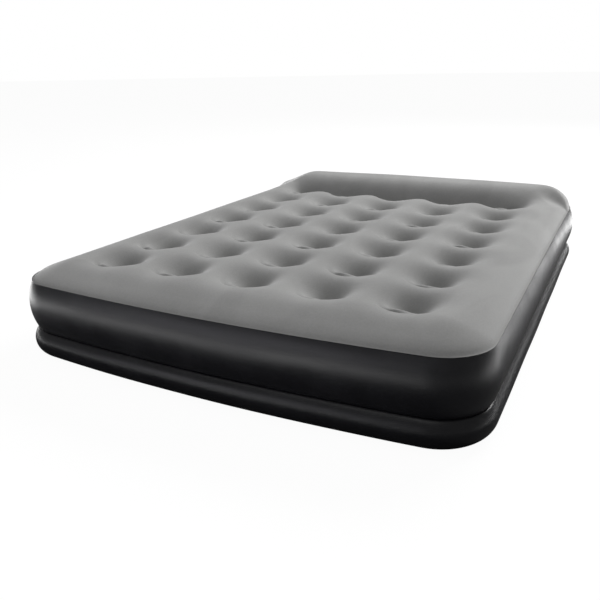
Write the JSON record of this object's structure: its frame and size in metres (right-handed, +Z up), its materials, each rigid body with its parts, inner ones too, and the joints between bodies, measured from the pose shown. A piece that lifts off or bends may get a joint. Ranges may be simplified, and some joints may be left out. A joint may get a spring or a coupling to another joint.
{
  "type": "air mattress",
  "caption": "Raised double-tier air mattress with a dimpled flocked top, a built-in pillow and a built-in mains pump in the head wall.",
  "frame": {"origin": "centre of the bed's base, on the floor", "axes": "+Z up, +Y towards the pillow end along the bed's length, X across the bed"},
  "size_m": [1.52, 2.0296, 0.35],
  "materials": {
    "flocked_top": "matte",
    "black_vinyl": "satin",
    "inner_vinyl": "satin",
    "soft_black": "satin",
    "rubber_black": "matte",
    "pump_black": "matte",
    "pump_grey": "satin",
    "knob_dark": "satin",
    "rocker_gloss": "gloss",
    "screw_steel": "satin",
    "pin_steel": "satin",
    "plated_steel": "satin",
    "white_acetal": "satin",
    "bronze": "satin",
    "ferrite": "matte",
    "core_iron": "satin",
    "copper": "satin",
    "carbon": "matte",
    "board_green": "satin",
    "flap_plastic": "satin"
  },
  "bodies": {
    "bed": {"top_sheet": "flocked_top", "upper_side_band": "black_vinyl", "lower_side_band": "black_vinyl", "middle_sheet": "inner_vinyl", "bottom_sheet": "black_vinyl", "coil_beams": "inner_vinyl", "lower_beams": "inner_vinyl", "pump_collar": "soft_black", "pump_gasket": "rubber_black", "pump_housing": "pump_black", "pump_faceplate": "pump_grey", "faceplate_screws": "screw_steel", "cord_bay": "pump_black", "cord_gland": "rubber_black", "lid_hinge_pin": "pin_steel", "valve_seat_plate": "pump_black", "shaft_seal": "rubber_black", "switch_body": "pump_black", "blower_casing": "pump_black", "blower_back_plate": "pump_black", "motor_can": "plated_steel", "motor_end_cap": "pump_black", "motor_bushes": "bronze", "motor_magnets": "ferrite", "motor_brushes": "carbon", "motor_screws": "screw_steel", "rectifier_board": "board_green", "outlet_seal": "rubber_black", "flap_hinge_pin": "pin_steel", "outlet_cage": "pump_black"},
    "selector": {"selector_knob": "knob_dark", "selector_shaft": "white_acetal", "valve_disc": "white_acetal"},
    "power_rocker": {"switch_rocker": "rocker_gloss"},
    "cord_door": {"cord_lid": "pump_grey"},
    "rotor": {"impeller": "white_acetal", "motor_shaft": "pin_steel", "armature": "core_iron", "commutator": "copper"},
    "flap": {"check_flap": "flap_plastic"}
  },
  "joints": [
    {"name": "selector_turn", "type": "hinge", "parent": "bed", "child": "selector", "pos_m": [-0.4741, 0.98578, 0.179], "axis": [-0.0628, 0.998, 0], "range_deg": [-90, 90]},
    {"name": "power_rock", "type": "hinge", "parent": "bed", "child": "power_rocker", "pos_m": [-0.47391, 0.98279, 0.131], "axis": [0, 0, 1], "range_deg": [0, 16]},
    {"name": "cord_door_hinge", "type": "hinge", "parent": "bed", "child": "cord_door", "pos_m": [-0.34951, 0.99613, 0.17], "axis": [0, 0, -1], "range_deg": [0, 110]},
    {"name": "rotor_spin", "type": "hinge", "parent": "bed", "child": "rotor", "pos_m": [-0.46952, 0.91293, 0.17], "axis": [-0.0628, 0.998, 0], "continuous": true},
    {"name": "flap_hinge", "type": "hinge", "parent": "bed", "child": "flap", "pos_m": [-0.38011, 0.86144, 0.2], "axis": [-0.998, -0.0628, 0], "range_deg": [0, 55]}
  ]
}
